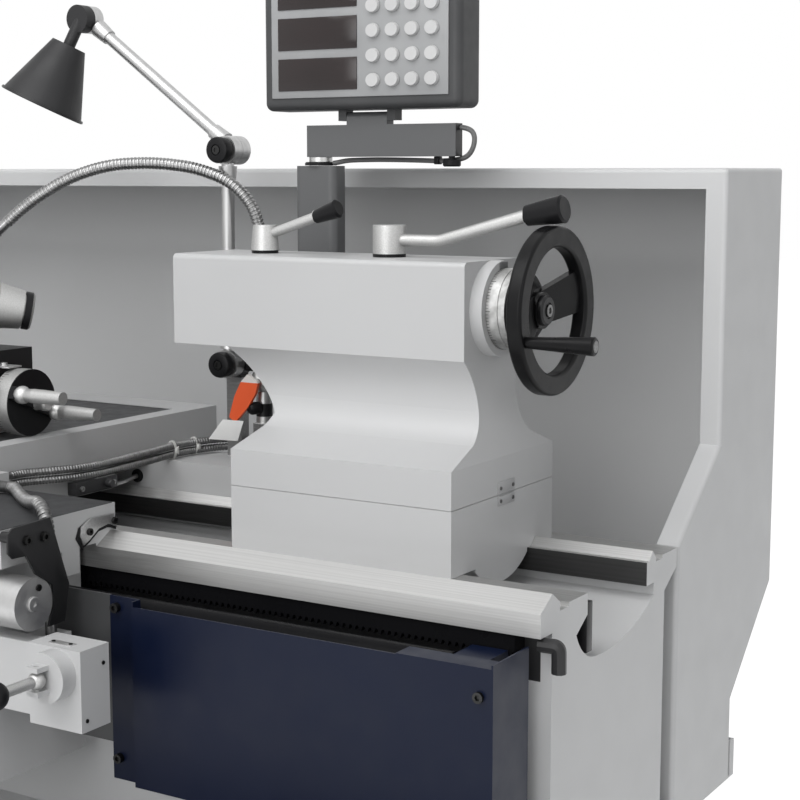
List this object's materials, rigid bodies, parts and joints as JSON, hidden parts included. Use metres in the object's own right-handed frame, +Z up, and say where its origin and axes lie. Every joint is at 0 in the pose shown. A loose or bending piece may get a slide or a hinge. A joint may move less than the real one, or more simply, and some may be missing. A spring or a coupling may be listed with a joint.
{
  "type": "universal metal lathe",
  "caption": "Metalworking centre lathe on a cabinet stand, with chuck, sliding carriage, tool post, tailstock with handwheel, splash guard, lamp, coolant gooseneck and readout.",
  "frame": {"origin": "on the floor, at the middle of the overall length and depth, under the spindle axis", "axes": "+X along the bed from headstock to tailstock, +Y from the operator to the back, +Z up"},
  "size_m": [2.31, 0.97, 1.5366],
  "materials": {
    "grey_paint": "smooth light grey enamel",
    "dark_paint": "dark grey enamel",
    "blue_paint": "dark blue enamel",
    "way_iron": "ground ways over painted casting",
    "bright_steel": "turned and ground steel",
    "black_iron": "black oxide",
    "black_plastic": "moulded black",
    "black_rubber": "matt",
    "orange_grip": "dipped vinyl",
    "red_cap": "moulded red"
  },
  "bodies": {
    "machine": {"headstock_cabinet": "grey_paint", "tailstock_cabinet": "grey_paint", "levelling_feet": "black_rubber", "chip_tray": "grey_paint", "bed": "way_iron", "feed_rack": "bright_steel", "shaft_bracket": "bright_steel", "screw_guard": "blue_paint", "splash_guard": "grey_paint", "headstock": "grey_paint", "feed_gearbox": "grey_paint", "drive_motor": "black_iron", "drive_belts": "black_rubber"},
    "brake": {"brake_pedal": "dark_paint"},
    "spindle_set": {"spindle": "bright_steel", "chuck_body": "bright_steel"},
    "jaw_1": {"chuck_jaw_1": "bright_steel"},
    "jaw_2": {"chuck_jaw_2": "bright_steel"},
    "jaw_3": {"chuck_jaw_3": "bright_steel"},
    "input_drive": {"input_pulley": "black_iron"},
    "motor_drive": {"motor_pulley": "black_iron"},
    "cover": {"end_cover": "grey_paint"},
    "speed_left": {"speed_lever_left": "bright_steel"},
    "speed_right": {"speed_lever_right": "bright_steel"},
    "stop": {"stop_button": "red_cap"},
    "screw": {"leadscrew": "bright_steel"},
    "rod": {"feed_rod": "bright_steel"},
    "carriage": {"saddle": "grey_paint", "apron": "grey_paint", "feed_clutch": "bright_steel", "accessory_rail": "grey_paint", "coolant_valve": "bright_steel", "coolant_hose": "bright_steel", "conduits": "bright_steel", "readout_post": "dark_paint"},
    "joystick": {"feed_joystick": "bright_steel"},
    "apron_wheel": {"apron_handwheel": "black_plastic"},
    "nut_lever": {"half_nut_lever": "bright_steel"},
    "cross": {"cross_slide": "grey_paint"},
    "crank": {"cross_crank": "bright_steel"},
    "compound": {"compound_base": "bright_steel"},
    "top": {"top_slide": "black_iron"},
    "top_handle": {"top_crank": "bright_steel"},
    "post": {"tool_post": "black_iron"},
    "post_knob": {"tool_post_knob": "bright_steel"},
    "lamp_low": {"lamp_lower_arm": "bright_steel"},
    "lamp_high": {"lamp_upper_arm": "bright_steel"},
    "lamp_shade": {"lamp_head": "black_plastic"},
    "valve": {"valve_lever": "orange_grip"},
    "display_arm": {"readout_arm": "dark_paint"},
    "display": {"readout_console": "black_plastic"},
    "tailstock": {"tailstock_base": "grey_paint", "tailstock_body": "grey_paint", "end_flange": "grey_paint"},
    "sleeve": {"quill": "bright_steel"},
    "tail_wheel": {"quill_dial": "bright_steel", "tailstock_handwheel": "black_plastic"},
    "tail_grip": {"handwheel_grip": "black_plastic"},
    "lock": {"quill_lock_lever": "bright_steel"},
    "clamp": {"clamp_lever": "bright_steel"}
  },
  "joints": [
    {"name": "spindle_turn", "type": "hinge", "parent": "machine", "child": "spindle_set", "pos_m": [-0.365, 0, 1.12], "axis": [1, 0, 0], "continuous": true},
    {"name": "jaw_1_slide", "type": "slide", "parent": "spindle_set", "child": "jaw_1", "axis": [0, 0, 1], "range_m": [-0.016, 0.025]},
    {"name": "jaw_2_slide", "type": "slide", "parent": "spindle_set", "child": "jaw_2", "axis": [0, -0.866, -0.5], "range_m": [-0.016, 0.025]},
    {"name": "jaw_3_slide", "type": "slide", "parent": "spindle_set", "child": "jaw_3", "axis": [0, 0.866, -0.5], "range_m": [-0.016, 0.025]},
    {"name": "input_turn", "type": "hinge", "parent": "machine", "child": "input_drive", "pos_m": [-1.065, 0.112, 0.972], "axis": [1, 0, 0], "continuous": true},
    {"name": "motor_turn", "type": "hinge", "parent": "machine", "child": "motor_drive", "pos_m": [-1.065, 0.06, 0.3], "axis": [1, 0, 0], "continuous": true},
    {"name": "cover_hinge", "type": "hinge", "parent": "machine", "child": "cover", "pos_m": [-0.988, 0.25, 0.742], "axis": [0, 0, -1], "range_deg": [0, 88]},
    {"name": "speed_left_turn", "type": "hinge", "parent": "machine", "child": "speed_left", "pos_m": [-0.835, -0.205, 1.19], "axis": [0, 1, 0], "range_deg": [-30, 30]},
    {"name": "speed_right_turn", "type": "hinge", "parent": "machine", "child": "speed_right", "pos_m": [-0.605, -0.205, 1.19], "axis": [0, 1, 0], "range_deg": [-30, 30]},
    {"name": "stop_press", "type": "slide", "parent": "machine", "child": "stop", "axis": [0, 1, 0], "range_m": [0, 0.006], "stiffness_N_per_m": 800},
    {"name": "brake_press", "type": "hinge", "parent": "machine", "child": "brake", "pos_m": [0.18, -0.12, 0.3], "axis": [1, 0, 0], "range_deg": [0, 12], "stiffness_Nm_per_rad": 60, "springref_deg": -22.92},
    {"name": "leadscrew_turn", "type": "hinge", "parent": "machine", "child": "screw", "pos_m": [0.3, -0.24, 0.785], "axis": [1, 0, 0], "continuous": true},
    {"name": "feed_rod_turn", "type": "hinge", "parent": "machine", "child": "rod", "pos_m": [0.3, -0.24, 0.73], "axis": [1, 0, 0], "continuous": true},
    {"name": "apron_wheel_turn", "type": "hinge", "parent": "carriage", "child": "apron_wheel", "pos_m": [0.183, -0.39, 0.71], "axis": [0, 1, 0], "range_deg": [-4033, 865]},
    {"name": "carriage_slide", "type": "slide", "parent": "machine", "child": "carriage", "axis": [1, 0, 0], "range_m": [-0.28, 0.06]},
    {"name": "joystick_tilt", "type": "hinge", "parent": "carriage", "child": "joystick", "pos_m": [0.677, -0.4, 0.75], "axis": [0, 0, 1], "range_deg": [-20, 20]},
    {"name": "half_nut_turn", "type": "hinge", "parent": "carriage", "child": "nut_lever", "pos_m": [0.463, -0.365, 0.72], "axis": [0, 1, 0], "range_deg": [0, 40]},
    {"name": "cross_crank_turn", "type": "hinge", "parent": "carriage", "child": "crank", "pos_m": [0.2825, -0.38, 0.87], "axis": [0, 1, 0], "range_deg": [-7201, 7201]},
    {"name": "cross_slide_move", "type": "slide", "parent": "carriage", "child": "cross", "axis": [0, 1, 0], "range_m": [-0.1, 0.1]},
    {"name": "compound_turn", "type": "hinge", "parent": "cross", "child": "compound", "pos_m": [0.24, -0.1, 0.9403], "axis": [0, 0, 1], "range_deg": [-45, 45]},
    {"name": "top_crank_turn", "type": "hinge", "parent": "top", "child": "top_handle", "pos_m": [0.379, -0.1, 0.983], "axis": [-1, 0, 0], "range_deg": [-3601, 1441]},
    {"name": "top_slide_move", "type": "slide", "parent": "compound", "child": "top", "axis": [-1, 0, 0], "range_m": [-0.05, 0.02]},
    {"name": "tool_post_turn", "type": "hinge", "parent": "top", "child": "post", "pos_m": [0.233, -0.1, 1.0453], "axis": [0, 0, 1], "range_deg": [-225, 45]},
    {"name": "post_knob_turn", "type": "hinge", "parent": "post", "child": "post_knob", "pos_m": [0.29876, -0.06161, 1.09875], "axis": [0.6545, 0.7269, -0.2079], "continuous": true},
    {"name": "lamp_low_tilt", "type": "hinge", "parent": "carriage", "child": "lamp_low", "pos_m": [0.502, 0.1632, 1.013], "axis": [0, 1, 0], "range_deg": [-15, 0]},
    {"name": "lamp_high_tilt", "type": "hinge", "parent": "lamp_low", "child": "lamp_high", "pos_m": [0.504, 0.1632, 1.298], "axis": [0, 1, 0], "range_deg": [-15, 20]},
    {"name": "lamp_head_tilt", "type": "hinge", "parent": "lamp_high", "child": "lamp_shade", "pos_m": [0.252, 0.1632, 1.48], "axis": [0, 1, 0], "range_deg": [-15, 20]},
    {"name": "valve_turn", "type": "hinge", "parent": "carriage", "child": "valve", "pos_m": [0.553, 0.143, 0.992], "axis": [0, -1, 0], "range_deg": [0, 90]},
    {"name": "display_swing", "type": "hinge", "parent": "carriage", "child": "display_arm", "pos_m": [0.647, 0.172, 1.2773], "axis": [0, 0, 1], "range_deg": [-90, 90]},
    {"name": "display_tilt", "type": "hinge", "parent": "display_arm", "child": "display", "pos_m": [0.722, 0.172, 1.3363], "axis": [1, 0, 0], "range_deg": [-15, 15]},
    {"name": "tailstock_slide", "type": "slide", "parent": "machine", "child": "tailstock", "axis": [1, 0, 0], "range_m": [-0.05, 0.14]},
    {"name": "tail_wheel_turn", "type": "hinge", "parent": "tailstock", "child": "tail_wheel", "pos_m": [1.062, 0, 1.12], "axis": [-1, 0, 0], "range_deg": [-1, 10801]},
    {"name": "quill_slide", "type": "slide", "parent": "tailstock", "child": "sleeve", "axis": [-1, 0, 0], "range_m": [0, 0.15]},
    {"name": "grip_turn", "type": "hinge", "parent": "tail_wheel", "child": "tail_grip", "pos_m": [1.115, -0.07565, 1.09247], "axis": [1, 0, 0], "continuous": true},
    {"name": "quill_lock_turn", "type": "hinge", "parent": "tailstock", "child": "lock", "pos_m": [0.682, 0, 1.174], "axis": [0, 0, 1], "range_deg": [-60, 60]},
    {"name": "clamp_turn", "type": "hinge", "parent": "tailstock", "child": "clamp", "pos_m": [0.857, 0, 1.174], "axis": [0, 0, 1], "range_deg": [-60, 60]}
  ],
  "couplings": [
    {"joint": "jaw_2_slide", "follows": "jaw_1_slide", "ratio": 1},
    {"joint": "jaw_3_slide", "follows": "jaw_1_slide", "ratio": 1},
    {"joint": "input_turn", "follows": "spindle_turn", "ratio": -2},
    {"joint": "motor_turn", "follows": "spindle_turn", "ratio": -4},
    {"joint": "apron_wheel_turn", "follows": "carriage_slide", "rad_per_m": 251.33},
    {"joint": "cross_crank_turn", "follows": "cross_slide_move", "rad_per_m": 1256.6},
    {"joint": "top_crank_turn", "follows": "top_slide_move", "rad_per_m": 1256.6},
    {"joint": "tail_wheel_turn", "follows": "quill_slide", "rad_per_m": 1256.6}
  ]
}
